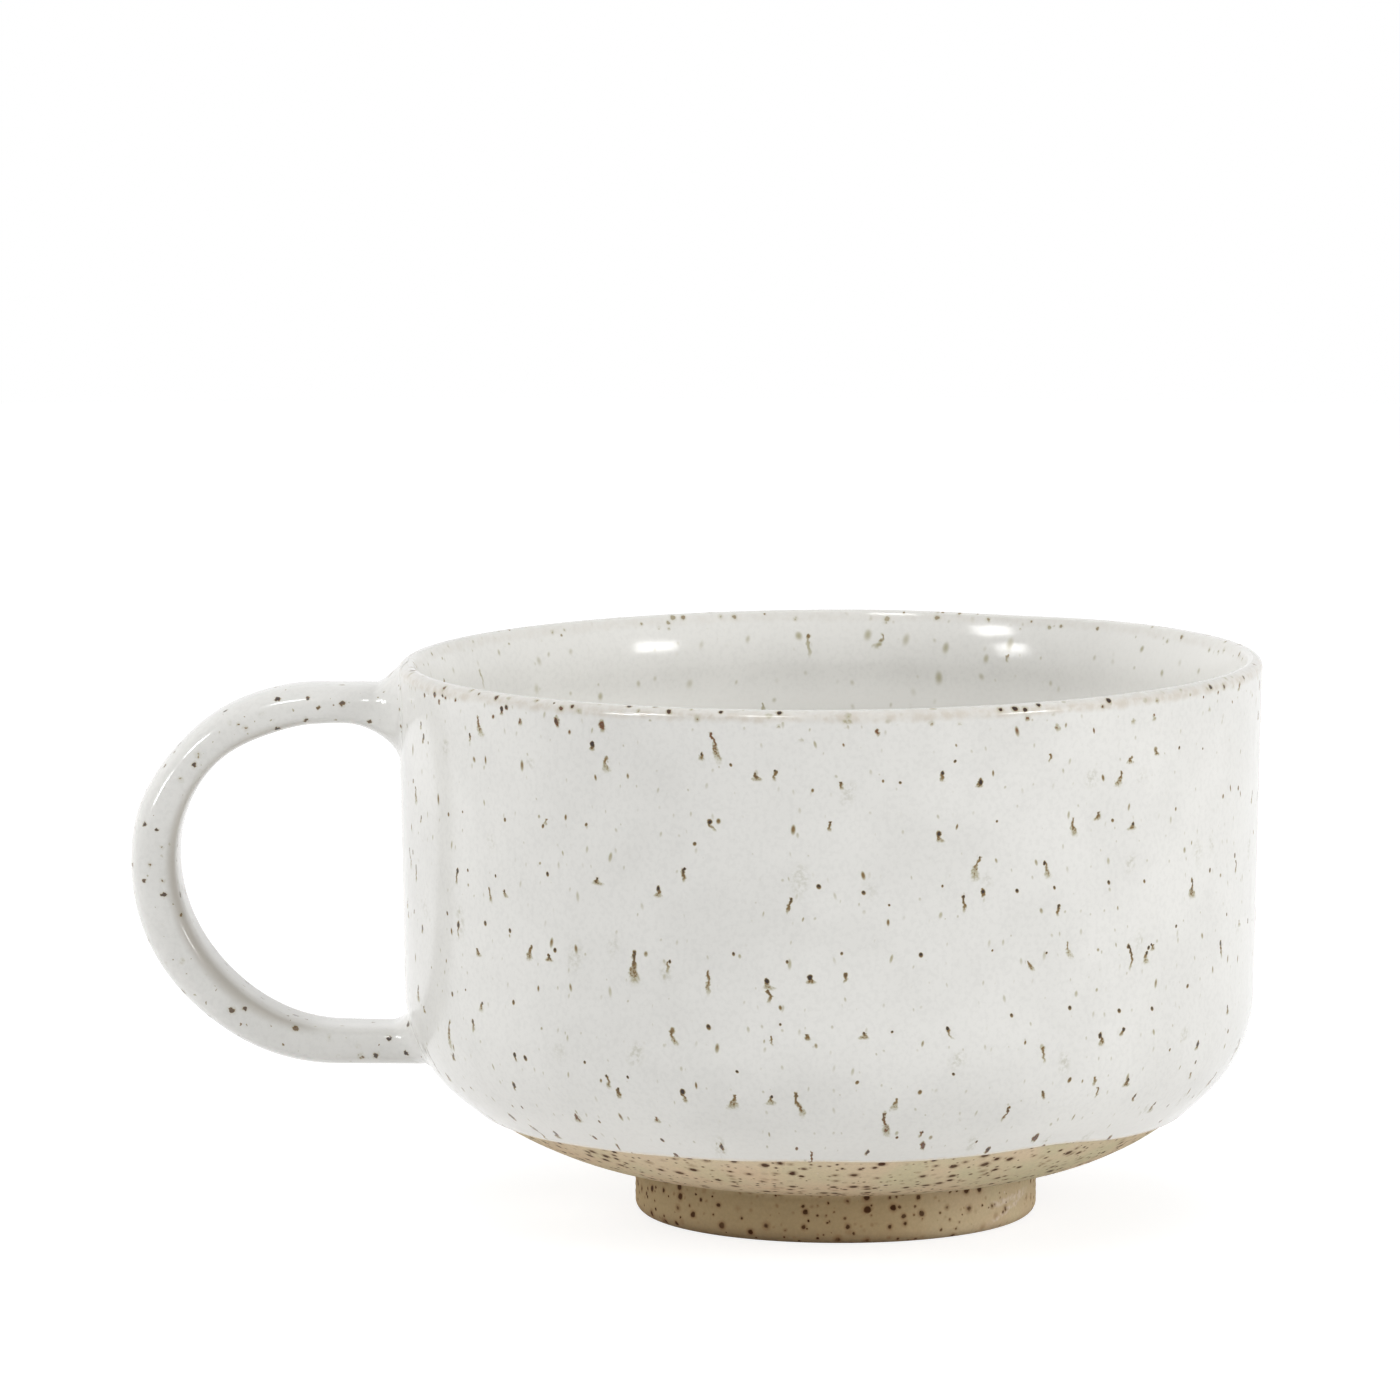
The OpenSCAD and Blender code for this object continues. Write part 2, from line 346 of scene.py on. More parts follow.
def rolled_edge(end):
    """The last few millimetres of the outer coat above its edge, which lies at an angle on the belly."""
    rolling = 1 - np.sin(np.radians(np.linspace(0, 90, 9)[1:]))
    to_edge = np.concatenate([np.linspace(EDGE_RUN, ROLL, 8)[1:], ROLL * rolling])
    rounded = np.sqrt(1 - np.clip(1 - to_edge / ROLL, 0, 1) ** 2)
    swell = 1 + BEAD * swell_at(to_edge, BEAD_AT, BEAD_W)
    depth = clay_belly_r + GLAZE_T * rounded * swell
    angle = math.radians(end) - to_edge / BELLY_R
    return belly_centre + depth[:, None] * np.stack([np.cos(angle), -np.sin(angle)], axis=1)


def outer_coat_loop(turn):
    """One column of the outer coat: down its face, round its edge and back up against the clay."""
    end = math.degrees(math.asin((belly_z - glaze_line(turn)) / BELLY_R))
    face = outside(0, end - math.degrees(EDGE_RUN / BELLY_R), counts=(12, 44, 24, 16))
    back = outside(GLAZE_T, end, counts=(5, 10, 12, 8))[:-1]
    return np.vstack([face, rolled_edge(end), back[::-1]])


outer_coat = turned_piece("outer_glaze_coat", np.stack([outer_coat_loop(t) for t in turns])[:, ::-1])
line_heights = glaze_line(turns)
print(f"glaze line from {line_heights.min():.2f} to {line_heights.max():.2f} mm above the table")

# %% [markdown]
# ## The inner glaze
# The inside was filled with glaze and poured out, which leaves an even coat. It meets the outer one on
# the crown of the lip, where both lie flat, so that no seam shows.

# %% The inner coat
crown = [[lip_centre[0], BOWL_H]]
inner_face = np.vstack([crown, full_inside])
crown_back = [[lip_centre[0], BOWL_H - GLAZE_T]]
inner_back = np.vstack([crown_back, inside(GLAZE_T, counts=(6, 8, 12, 12, 12, 8))])
inner_coat = turned_piece("inner_glaze_coat", all_round(np.vstack([inner_back[::-1], inner_face])))

# %% [markdown]
# ## The path of the handle
# A strap of clay is pulled by hand, flat inside the loop and rounded outside, and bent into a loop of two
# round arcs. A curve with a bevel object would sweep it, but its thickness changes on the way, so rings
# of points are laid along the path instead.

# %% Sizes of the strap and its section
HANDLE_OUT = 39.0
HANDLE_DROP = 6.7
UPPER_BEND_R = 23.3
LOWER_BEND_R = 26.7
STRAP_W = 13.0
STRAP_TOP_T = 5.2
STRAP_MID_T = 6.9
STRAP_LOW_T = 5.6
OUTER_ROUND = 0.77
INNER_ROUND = 0.46
RING_COUNT = 56

upper_z = BOWL_H - HANDLE_DROP
loop_z = upper_z - UPPER_BEND_R
lower_z = loop_z - LOWER_BEND_R
loop_x = STRAP_MID_T / 2 - RIM_D / 2 - HANDLE_OUT
upper_bend_x = loop_x + UPPER_BEND_R
lower_bend_x = loop_x + LOWER_BEND_R
strap_swell = STRAP_MID_T - (STRAP_TOP_T + STRAP_LOW_T) / 2


def half_strap(height):
    """Half of the strap's thickness at a height on the loop."""
    fall = np.clip((upper_z - height) / (upper_z - lower_z), 0, 1)
    return (STRAP_TOP_T + (STRAP_LOW_T - STRAP_TOP_T) * fall + strap_swell * math.sin(math.pi * fall)) / 2


def section_at(angle, half_w, out, into):
    """Points of the strap's section: sideways across the strap, and outwards from the loop."""
    sine, cosine = np.sin(angle), np.cos(angle)
    power = np.where(sine < 0, INNER_ROUND, OUTER_ROUND)
    across = half_w * np.sign(cosine) * np.abs(cosine) ** power
    outward = np.where(sine < 0, into, out) * np.sign(sine) * np.abs(sine) ** power
    return np.stack([across, outward], axis=1)


fine_angles = np.linspace(0, 2 * np.pi, 20001)
fine = section_at(fine_angles, STRAP_W / 2, STRAP_MID_T / 2, STRAP_MID_T / 2)
steps = np.concatenate([[0], np.cumsum(np.linalg.norm(np.diff(fine, axis=0), axis=1))])
even = np.linspace(0, steps[-1], RING_COUNT, endpoint=False)
ring_angles = np.interp(even, steps, fine_angles)
print(f"the strap is {steps[-1]:.1f} mm round")
print(f"its loop is {upper_z - lower_z:.1f} mm high between centres")


# %% [markdown]
# A pulled strap is never quite even. This one is fuller inside its upper bend and along its lower bend,
# and a little slack outside below. Those swellings are given round the loop, by the angle of its bends.

# %% Rings along the loop
OUTSIDE_SWELLS = ((0.22, 88, 12), (0.18, 164, 10), (-0.12, 140, 10), (-0.28, 228, 18))
INSIDE_SWELLS = ((0.65, 108, 18), (0.88, 228, 34))


def strap_section(z, angle, inset):
    """The strap's section at a place on its loop, drawn in by a glaze coat where that is given."""
    more_out, more_in = swellings(angle, OUTSIDE_SWELLS), swellings(angle, INSIDE_SWELLS)
    half = half_strap(z) - inset
    return section_at(ring_angles, STRAP_W / 2 - inset, half + more_out, half + more_in)


def strap_ring(x, z, outward, angle, inset):
    """One ring of the strap round a place on its path."""
    flat = strap_section(z, angle, inset)
    return np.stack([x + flat[:, 1] * outward[0], flat[:, 0], z + flat[:, 1] * outward[1]], axis=1)


def upper_run_angle(x):
    """The angle that a place on the upper straight run would have if the bend went on."""
    return 90 - math.degrees((x - upper_bend_x) / UPPER_BEND_R)


def lower_run_angle(x):
    """The angle that a place on the lower straight run would have if the bend went on."""
    return 270 + math.degrees((x - lower_bend_x) / LOWER_BEND_R)


def bend_rings(centre_x, radius, start, end, inset, count=40):
    """Rings round one bend of the loop."""
    rings = []
    for angle in np.linspace(start, end, count):
        outward = (math.cos(math.radians(angle)), math.sin(math.radians(angle)))
        x, z = centre_x + radius * outward[0], loop_z + radius * outward[1]
        rings.append(strap_ring(x, z, outward, angle, inset))
    return rings


def loop_rings(inset, upper_start, lower_end):
    """Rings from the end of the upper joint, round both bends, to the end of the lower joint."""
    upper_x = np.linspace(upper_start, upper_bend_x, 6)[:-1]
    lower_x = np.linspace(lower_bend_x, lower_end, 8)[1:]
    upper_run = [strap_ring(x, upper_z, (0, 1), upper_run_angle(x), inset) for x in upper_x]
    lower_run = [strap_ring(x, lower_z, (0, -1), lower_run_angle(x), inset) for x in lower_x]
    upper_bend = bend_rings(upper_bend_x, UPPER_BEND_R, 90, 180, inset)
    lower_bend = bend_rings(lower_bend_x, LOWER_BEND_R, 180, 270, inset)
    return upper_run + upper_bend + lower_bend[1:] + lower_run


# %% [markdown]
# ## Where the handle meets the wall
# The potter scores both faces, presses the strap on and works the clay round it into the wall. At the top
# that leaves a web up to the lip and a hollow round below, and at the bottom only a small round above the
# strap. A voxel remesh would melt the join, but it would also blur the lip. Here each line of the strap
# is led on by a curve that leaves along the strap and lands along the wall, so the join is as smooth as
# the real one.


# %% The wall behind the handle
def wall_x(y, z):
    """The x of the glazed wall on the handle's side, at places across it and up it."""
    height = np.array(z, float)
    turn = np.full_like(height, np.pi)
    for _ in range(6):
        upper = ease(RISE_FROM, BOWL_H, height)
        radius = np.interp(height, full_outside[::-1, 1], full_outside[::-1, 0])
        out = radius + OVAL * upper * np.cos(2 * turn + OVAL_AT)
        turn = np.pi - np.arcsin(np.clip(y / out, -1, 1))
        height = z - RIM_RISE * upper * np.cos(turn) * radius / (RIM_D / 2)
    return thrown(radius, height, turn)[..., 0]


print(f"the wall stands at x {wall_x(np.array(0.0), np.array(upper_z)):.2f} at the upper joint")

# %% Curves from the strap to the wall
SINK = 0.02
DIVE = 0.05
DIVE_RUN = 0.6
LAND_RUN = 0.25
STRAIGHT_STEPS = 3
CURVE_STEPS = 10
STEP = 0.05


def spread_round(flat, out, into, side):
    """A size for each point of a section, from its values outwards, inwards and to the sides."""
    along = np.roll(flat, -1, axis=0) - np.roll(flat, 1, axis=0)
    facing = np.stack([along[:, 1], -along[:, 0]], axis=1)
    facing /= np.linalg.norm(facing, axis=1)[:, None]
    size = side * facing[:, 0] ** 2 + np.where(facing[:, 1] > 0, out, into) * facing[:, 1] ** 2
    return size, facing


def joint_rings(z, way, inset, plain_x, run_angle, spreads, lengths, holds):
    """Rings from inside the wall out to the plain strap. way is 1 if outwards is up, and -1 if down."""
    flat = strap_section(z, run_angle(plain_x), inset)
    spread, facing = spread_round(flat, *spreads)
    length, _ = spread_round(flat, *lengths)
    hold = spread_round(flat, *holds)[0][:, None]
    y, height = flat[:, 0], z + way * flat[:, 1]
    y_end, z_end = y + spread * facing[:, 0], height + way * spread * facing[:, 1]
    corner = np.stack([wall_x(y, height), y, height], axis=1)
    end = np.stack([wall_x(y_end, z_end), y_end, z_end], axis=1)
    slope_y = (wall_x(y_end + STEP, z_end) - wall_x(y_end - STEP, z_end)) / (2 * STEP)
    slope_z = (wall_x(y_end, z_end + STEP) - wall_x(y_end, z_end - STEP)) / (2 * STEP)
    normal = np.stack([-np.ones_like(y), slope_y, slope_z], axis=1)
    normal /= np.linalg.norm(normal, axis=1)[:, None]
    back = corner - end
    back -= np.sum(back * normal, axis=1)[:, None] * normal
    start = corner - length[:, None] * np.array([1.0, 0, 0])
    end = end - SINK * normal
    away = -back / np.maximum(np.linalg.norm(back, axis=1)[:, None], 1e-6)
    rings = [end + DIVE_RUN * away - (DIVE + inset) * normal, end + LAND_RUN * away]
    near_strap, near_wall = start + hold * (corner - start), end + hold * back
    for t in np.linspace(1, 0, CURVE_STEPS + 1):
        s = 1 - t
        rings.append(s ** 3 * start + 3 * s * s * t * near_strap + 3 * s * t * t * near_wall + t ** 3 * end)
    plain = np.stack([np.full_like(y, plain_x), y, height], axis=1)
    for share in np.linspace(0, 1, STRAIGHT_STEPS + 1)[1:]:
        rings.append(start * (1 - share) + plain * share)
    return rings


UPPER_PLAIN_X = -72.0
LOWER_PLAIN_X = -67.0
UPPER_SHAPE = {"spreads": (3.2, 5.6, 3.5), "lengths": (3.2, 8.0, 6.0), "holds": (0.25, 0.46, 0.55)}
LOWER_SHAPE = {"spreads": (0.2, 2.6, 3.4), "lengths": (0.7, 3.2, 4.4), "holds": (0.55, 0.45, 0.55)}


def handle_rings(inset):
    """Rings of the upper joint, the plain strap and the lower joint, from wall to wall, as three lists."""
    upper = joint_rings(upper_z, 1, inset, UPPER_PLAIN_X, upper_run_angle, **UPPER_SHAPE)
    lower = joint_rings(lower_z, -1, inset, LOWER_PLAIN_X, lower_run_angle, **LOWER_SHAPE)
    return upper, loop_rings(inset, UPPER_PLAIN_X, LOWER_PLAIN_X), lower[::-1]


print(f"plain strap from x {UPPER_PLAIN_X} above to {LOWER_PLAIN_X} below")

# %% [markdown]
# ## Strap, joints and their coat
# The clay of the strap and of its two joints stays three pieces, as the potter made them. The glaze went
# on last, as one coat round all three, so it is one shell whose face runs into the wall's glaze at both
# ends.


# %% From rings to pieces
def ring_piece(name, rings, hollow=False):
    """A closed piece from rings of points: a shell whose last ring joins its first, or a bar with caps."""
    points = np.vstack(rings)
    count, last = RING_COUNT, len(rings) - 1
    faces = []
    for i in range(len(rings) if hollow else last):
        here, there = i * count, (i + 1) % len(rings) * count
        for k in range(count):
            after = (k + 1) % count
            faces.append((here + k, here + after, there + after, there + k))
    if not hollow:
        faces.append(tuple(range(count - 1, -1, -1)))
        faces.append(tuple(range(last * count, last * count + count)))
    return as_piece(name, points, faces)


def unbroken(upper, plain, lower):
    """The three lists as one, with the rings that two of them share only once."""
    return upper + plain[1:-1] + lower


face_rings = unbroken(*handle_rings(0))
back_rings = unbroken(*handle_rings(GLAZE_T))
upper_core, plain_core, lower_core = handle_rings(GLAZE_T + SEAT)
handle_coat = ring_piece("handle_glaze_coat", face_rings + back_rings[::-1], hollow=True)
pulled_strap = ring_piece("pulled_strap", plain_core)
upper_joint = ring_piece("upper_joint_clay", upper_core)
lower_joint = ring_piece("lower_joint_clay", lower_core)

# %% [markdown]
# ## A small language for materials
# Blender's material nodes can be written as sums. The class below stands for one output of a node: adding
# or multiplying two of them adds a Math node, or a Vector Math node where one is a vector or a colour.
# Every other node comes from the one method called node, so the finishes below read as plain formulas.


# %% Sums on sockets
def both_ways(operation):
    """The two methods for one sum: with the socket before the sign, and with it after."""
    def before(self, other):
        return self.sum(operation, self, other)

    def after(self, other):
        return self.sum(operation, other, self)

    return before, after


class Wire:
    """One output socket of a material's nodes."""

    def __init__(self, tree, socket=None):
        self.tree = tree
        self.socket = socket

    def node(self, kind, settings, inputs, out=0):
        """A new node: its settings, then values or links for its sockets. Gives one of its outputs."""
        made = self.tree.nodes.new("ShaderNode" + kind)
        for key, value in settings.items():
            setattr(made, key, value)
        for key, value in inputs.items():
            by_name = [s for s in made.inputs if s.name == key and s.enabled]
            socket = by_name[0] if by_name else made.inputs[key]
            if isinstance(value, Wire):
                self.tree.links.new(value.socket, socket)
            else:
                socket.default_value = value
        if isinstance(out, str):
            return Wire(self.tree, made.outputs[out])
        shown = [s for s in made.outputs if s.enabled]
        return Wire(self.tree, shown[out] if shown else None)

    def beside(self, name):
        """Another output of the same node."""
        return Wire(self.tree, self.socket.node.outputs[name])

    def is_vector(self):
        """Whether it carries a vector or a colour, and not one number."""
        return self.socket.type in ("VECTOR", "RGBA")

    def sum(self, operation, first, second):
        """A Math node on two values, or a Vector Math node where one of them is a vector or a colour."""
        pair = (first, second)
        vector = any(isinstance(p, tuple) or (isinstance(p, Wire) and p.is_vector()) for p in pair)
        if vector:
            pair = tuple((p,) * 3 if isinstance(p, (int, float)) else p for p in pair)
        kind = "VectorMath" if vector else "Math"
        return self.node(kind, {"operation": operation}, {0: pair[0], 1: pair[1]})

    __add__, __radd__ = both_ways("ADD")
    __sub__, __rsub__ = both_ways("SUBTRACT")
    __mul__, __rmul__ = both_ways("MULTIPLY")
    __truediv__, __rtruediv__ = both_ways("DIVIDE")

    def __abs__(self):
        return self.node("Math", {"operation": "ABSOLUTE"}, {0: self})


# %% Words for the finishes
def over(value, low, high):
    """A smooth mask that is 0 below low and 1 above high."""
    settings = {"interpolation_type": "SMOOTHSTEP"}
    return value.node("MapRange", settings, {"Value": value, "From Min": low, "From Max": high})


def parts_of(vector):
    """The three numbers of a vector."""
    first = vector.node("SeparateXYZ", {}, {"Vector": vector}, "X")
    return first, first.beside("Y"), first.beside("Z")


def from_parts(wire, x, y, z):
    """A vector from three numbers."""
    return wire.node("CombineXYZ", {}, {"X": x, "Y": y, "Z": z})


def length_of(vector):
    """How long a vector is."""
    return vector.node("VectorMath", {"operation": "LENGTH"}, {0: vector}, "Value")


def blend(first, second, share):
    """A colour between two colours."""
    maker = next(w for w in (share, first, second) if isinstance(w, Wire))
    settings = {"data_type": "RGBA"}
    return maker.node("Mix", settings, {"Factor": share, "A": first, "B": second})


def cloud(place, grain, detail=2.0, out="Fac"):
    """Soft noise whose lumps are about so many millimetres across."""
    inputs = {"Vector": place, "Scale": 1 / grain, "Detail": detail, "Roughness": 0.55}
    return place.node("TexNoise", {}, inputs, out)


def larger(first, second):
    """The larger of two values."""
    return first.node("Math", {"operation": "MAXIMUM"}, {0: first, 1: second})


def paint(red, green, blue):
    """A colour written as it is mixed on a screen, from 0 to 255, as Blender's own linear colour."""
    levels = [c / 255 for c in (red, green, blue)]
    return tuple(c / 12.92 if c <= 0.04045 else ((c + 0.055) / 1.055) ** 2.4 for c in levels) + (1.0,)


def new_finish(name):
    """A new material, with the place on the object in millimetres and the shader to fill in."""
    material = bpy.data.materials.new(name)
    material.use_nodes = True
    tree = material.node_tree
    shader = tree.nodes["Principled BSDF"]
    place = Wire(tree).node("TexCoord", {}, {}, "Object") * (1000.0, 1000.0, 1000.0)
    return material, shader, place


def feed(shader, colour, roughness, height, bump_mm, bump_strength):
    """Links a finish to the shader: its colour, its roughness and its fine relief."""
    inputs = {"Height": height, "Distance": bump_mm * MM, "Strength": bump_strength}
    relief = colour.node("Bump", {}, inputs)
    for socket, wire in (("Base Color", colour), ("Roughness", roughness), ("Normal", relief)):
        colour.tree.links.new(wire.socket, shader.inputs[socket])


# %% [markdown]
# ## Specks
# Iron in the clay melts through the glaze. A Voronoi texture scatters one point in each of its cells, and
# gives the cell a random colour to draw lots with. The offset from that point is all that is needed to
# draw a mark of any shape there, so round specks in the clay and runs in the glaze come from the same few
# lines.


# %% Scattered marks
def scattered(place, spacing, seed, flat=False):
    """For each place: its offset from the nearest scattered point, three lots, and that point."""
    cell = (spacing[0], spacing[1], 1.0 if flat else spacing[2])
    shrunk = place * tuple(1 / s for s in cell) + (seed, seed * 1.7, 0.0 if flat else seed * 2.3)
    settings = {"voronoi_dimensions": "2D" if flat else "3D", "feature": "F1"}
    inputs = {"Vector": shrunk, "Scale": 1.0, "Randomness": 0.85}
    point = place.node("TexVoronoi", settings, inputs, "Position")
    lots = parts_of(point.beside("Color"))
    return (shrunk - point) * cell, lots, point * cell


def another(lot, stretch):
    """One more lot for the same cell: the first one stretched, and only its decimals kept."""
    return lot.node("Math", {"operation": "FRACT"}, {0: lot * stretch})


def drawn(lot, share):
    """1 in the share of the cells whose lot is high, and 0 in the rest."""
    return over(lot, 1 - share, 1.01 - share)


def uneven(place, grain, reach):
    """The place pushed about by noise, which gives whatever is drawn there a ragged edge."""
    return place + (cloud(place, grain, 2.0, "Color") - (0.5, 0.5, 0.5)) * (reach, reach, reach)


def round_specks(place, spacing, seed, least, most, share):
    """Round specks between two radii, in a share of the cells: the speck, its halo and its lot."""
    offset, lots, _ = scattered(place, (spacing,) * 3, seed)
    radius = least + (most - least) * lots[0]
    distance = length_of(offset)
    speck = 1 - over(distance, radius * 0.65, radius * 1.15)
    halo = 1 - over(distance, radius * 0.8, radius * 2.0)
    present = drawn(lots[1], share)
    return speck * present, halo * present, lots[2]


# %% [markdown]
# ## Fired clay
# The bare stoneware is a sandy tan with warmer and greener clouds from the kiln, fine grog, and dark iron
# specks that are rusty round the edge. It is matt and a little rosy just under the glaze. The foot and the
# belly just above it are browner, partly toasted in the kiln and partly painted shade under the belly, and
# the bottom of the foot is darker with painted shade. The side that faces the right-hand lamps is paler
# with painted light. Each mesh carries its height above the glaze line, so that clay and glaze can change
# colour along it.

# %% The clay finish
CLAY_TAN = paint(216, 198, 169)
CLAY_WARM = paint(218, 196, 167)
CLAY_OLIVE = paint(204, 198, 164)
CLAY_ROSY = paint(223, 204, 178)
CLAY_TOASTED_AND_SHADED = paint(178, 157, 120)
CLAY_FOOT_BOTTOM_SHADE = paint(146, 123, 97)
CLAY_PALE = paint(221, 208, 195)
CLAY_SHEEN = 0.05
IRON_DARK = paint(60, 28, 4)
IRON_RUST = paint(124, 76, 38)
GRIT = dict(spacing=2.6, seed=5.9, least=0.12, most=0.3, share=0.5)
BIG_SPECKS = dict(spacing=2.05, seed=3.1, share=0.9)
BIG_RADII = (0.18, 0.58)
FULLER_ON_BELLY = 0.09
SMALL_SPECKS = dict(spacing=1.25, seed=8.7, least=0.1, most=0.27, share=0.85)
# The turn of the scuff, which is also the side painted paler as painted light.
SCUFF_AND_LIT_SIDE_AT = math.radians(-29)
SCUFF_AND_LIT_SIDE_AHEAD = (math.cos(SCUFF_AND_LIT_SIDE_AT), math.sin(SCUFF_AND_LIT_SIDE_AT), 0.0)
SCUFF_ALONG = (-math.sin(SCUFF_AND_LIT_SIDE_AT), math.cos(SCUFF_AND_LIT_SIDE_AT), 0.0)


def note_line(piece):
    """Writes each point's height above the glaze line, in millimetres, into the mesh."""
    points = np.empty(len(piece.data.vertices) * 3)
    piece.data.vertices.foreach_get("co", points)
    x, y, z = points.reshape(-1, 3).T / MM
    above = z - glaze_line(np.arctan2(y, x))
    piece.data.attributes.new("above_line", "FLOAT", "POINT").data.foreach_set("value", above)


def above_line(wire):
    """The height above the glaze line that the mesh carries."""
    return wire.node("Attribute", {"attribute_name": "above_line"}, {}, "Fac")


def facing(place, direction):
    """How far a place lies in a direction from the axis, in millimetres."""
    settings = {"operation": "DOT_PRODUCT"}
    return place.node("VectorMath", settings, {0: place, 1: direction}, "Value")


def scuff(place):
    """Two pale strokes on the foot, where it has rubbed against something."""
    _, _, height = parts_of(place)
    along, ahead = facing(place, SCUFF_ALONG), facing(place, SCUFF_AND_LIT_SIDE_AHEAD)
    rising = height - 3.0 + 1.1 * (cloud(place, 1.6, 3.0) - 0.5)
    upper = 1 - over(abs(rising - 1.3 - 0.08 * along), 0.15, 0.7)
    lower = 1 - over(abs(rising - 0.3 * along), 0.1, 0.6)
    worn = over(cloud(place, 0.7), 0.3, 0.65) * (1 - over(abs(along), 3.0, 6.5))
    return larger(upper, lower) * worn * over(ahead, 24.0, 26.0)


def clay_finish():
    """Bare speckled stoneware."""
    material, shader, place = new_finish("bare_stoneware")
    _, _, height = parts_of(place)
    colour = blend(CLAY_TAN, CLAY_WARM, over(cloud(place, 9.0), 0.42, 0.6))
    colour = blend(colour, CLAY_ROSY, over(above_line(place), -2.2, -0.2) * 0.5)
    # Browner towards the foot: partly the clay toasted in the kiln, partly painted shade under the belly.
    toasted_and_shaded = 1 - over(height + 1.4 * cloud(place, 4.0), 6.6, 10.6)
    colour = blend(colour, CLAY_TOASTED_AND_SHADED, toasted_and_shaded * 0.9)
    # Painted shade: the lowest millimetres of the foot are darker.
    colour = blend(colour, CLAY_FOOT_BOTTOM_SHADE, (1 - over(height, 0.2, 2.6)) * 0.6)
    # Painted light: the side towards the right-hand lamps is paler, and its olive clouds a little stronger.
    painted_light_side = over(facing(place, SCUFF_AND_LIT_SIDE_AHEAD) + 3.0 * (cloud(place, 5.0) - 0.5), 21.0, 30.0)
    colour = blend(colour, CLAY_TAN, painted_light_side * 0.5)
    olive = over(cloud(place + (31.0, 7.0, 3.0), 9.0, 1.0), 0.38, 0.7) * (0.45 + 0.2 * painted_light_side)
    colour = blend(colour, CLAY_OLIVE, olive * larger(1 - toasted_and_shaded, painted_light_side * 0.5))
    grog = cloud(place, 0.45, 3.0)
    colour = colour * from_parts(grog, *(0.86 + 0.28 * grog,) * 3)
    ragged = uneven(place, 0.8, 0.35)
    grit, _, grit_lot = round_specks(place, **GRIT)
    colour = blend(colour, CLAY_PALE, grit * (0.25 + 0.4 * grit_lot))
    colour = blend(colour, CLAY_PALE, scuff(place) * 0.75)
    fuller = FULLER_ON_BELLY * over(height, 6.5, 8.0)
    least, most = fuller + BIG_RADII[0], fuller + BIG_RADII[1]
    big, big_halo, big_lot = round_specks(ragged, least=least, most=most, **BIG_SPECKS)
    small, small_halo, small_lot = round_specks(ragged, **SMALL_SPECKS)
    colour = blend(colour, IRON_RUST, larger(big_halo * 0.4, small_halo * 0.4))
    dark = larger(big * (0.8 + 0.2 * big_lot), small * (0.65 + 0.4 * small_lot))
    colour = blend(colour, IRON_DARK, dark)
    feed(shader, colour, 0.86 - 0.25 * dark, 0.7 * grog + 0.25 * dark, 0.06, 0.55)
    shader.inputs["Specular IOR Level"].default_value = CLAY_SHEEN
    return material


stoneware = clay_finish()
print(f"{stoneware.name}: {len(stoneware.node_tree.nodes)} nodes")

# %% [markdown]
# ## White glaze
# The glaze is a soft, slightly grey white, a little uneven in thickness, and glossy. Over the lip, along
# the strap's edges and at its own lower edge it runs thin, and the clay warms it there; the strap's inner
# edges and the inside of its loop are also darkened with painted shade. Painted light whitens the outside
# just above the glaze line, and the inside at its top, low down and on its right. Iron shows in it
# as black points, as brown runs with a dark head, and as a dust of faint flecks. Runs point down the
# wall, because they formed while the mug stood in the kiln, so they are drawn on a flat map of the wall:
# the way round, and the height.

# %% The ground of the glaze
GLAZE_WHITE = paint(223, 222, 218)
GLAZE_SHADE = paint(213, 212, 208)
# A whiter white, painted where the glaze stands in for more light.
GLAZE_PAINTED_LIGHT = paint(237, 236, 232)
GLAZE_THIN = paint(192, 181, 165)
GLAZE_THIN_AND_SHADED_EDGE = paint(186, 180, 170)
IRON_FAINT = paint(178, 173, 150)
IRON_BROWN = paint(124, 98, 60)
IRON_RED = paint(112, 68, 44)
IRON_BLACK = paint(42, 28, 19)
SMEAR_GREY = paint(172, 169, 150)
WALL_R = 61.0
SEAM = (3.06, 3.1)
CROWN = (79.4, 80.2)


def glaze_ground(place):
    """The white of the glaze, uneven in slow clouds and in a fine mottle."""
    slow = over(cloud(place, 14.0), 0.35, 0.7)
    mottle = cloud(place + (5.0, 9.0, 2.0), 0.7, 3.0)
    return blend(GLAZE_WHITE, GLAZE_SHADE, 0.5 * slow + 0.45 * over(mottle, 0.42, 0.68)), mottle


def rim_level(place):
    """Height up the mug, as if its rim were level."""
    x, _, height = parts_of(place)
    return height - (RIM_RISE / (RIM_D / 2)) * x


def lip_break(place, level):
    """Where the glaze runs thin: a soft and broken band just under the crown of the lip."""
    wavering = level + 0.9 * (cloud(place, 3.0) - 0.5)
    broken = 0.5 + 0.7 * over(cloud(place, 1.5, 3.0), 0.36, 0.64)
    return over(wavering, 79.0, 80.0) * (1 - 0.5 * over(wavering, 80.2, 80.8)) * broken


def wall_map(place):
    """A flat map of the wall, in millimetres round it and up it, and a mask that leaves out its seam."""
    x, y, height = parts_of(place)
    turn = x.node("Math", {"operation": "ARCTAN2"}, {0: y, 1: x})
    return from_parts(turn, turn * WALL_R, height, 0.0), 1 - over(abs(turn), *SEAM)


def iron_stain(colour, iron, red):
    """Colours the glaze by how much iron is in it: faint olive, then brown or red, then nearly black."""
    colour = blend(colour, IRON_FAINT, over(iron, 0.0, 0.32))
    colour = blend(colour, blend(IRON_BROWN, IRON_RED, red), over(iron, 0.26, 0.62))
    return blend(colour, IRON_BLACK, over(iron, 0.6, 0.98))


# %% Runs and dashes on the wall
def squared(value):
    """A value times itself."""
    return value * value


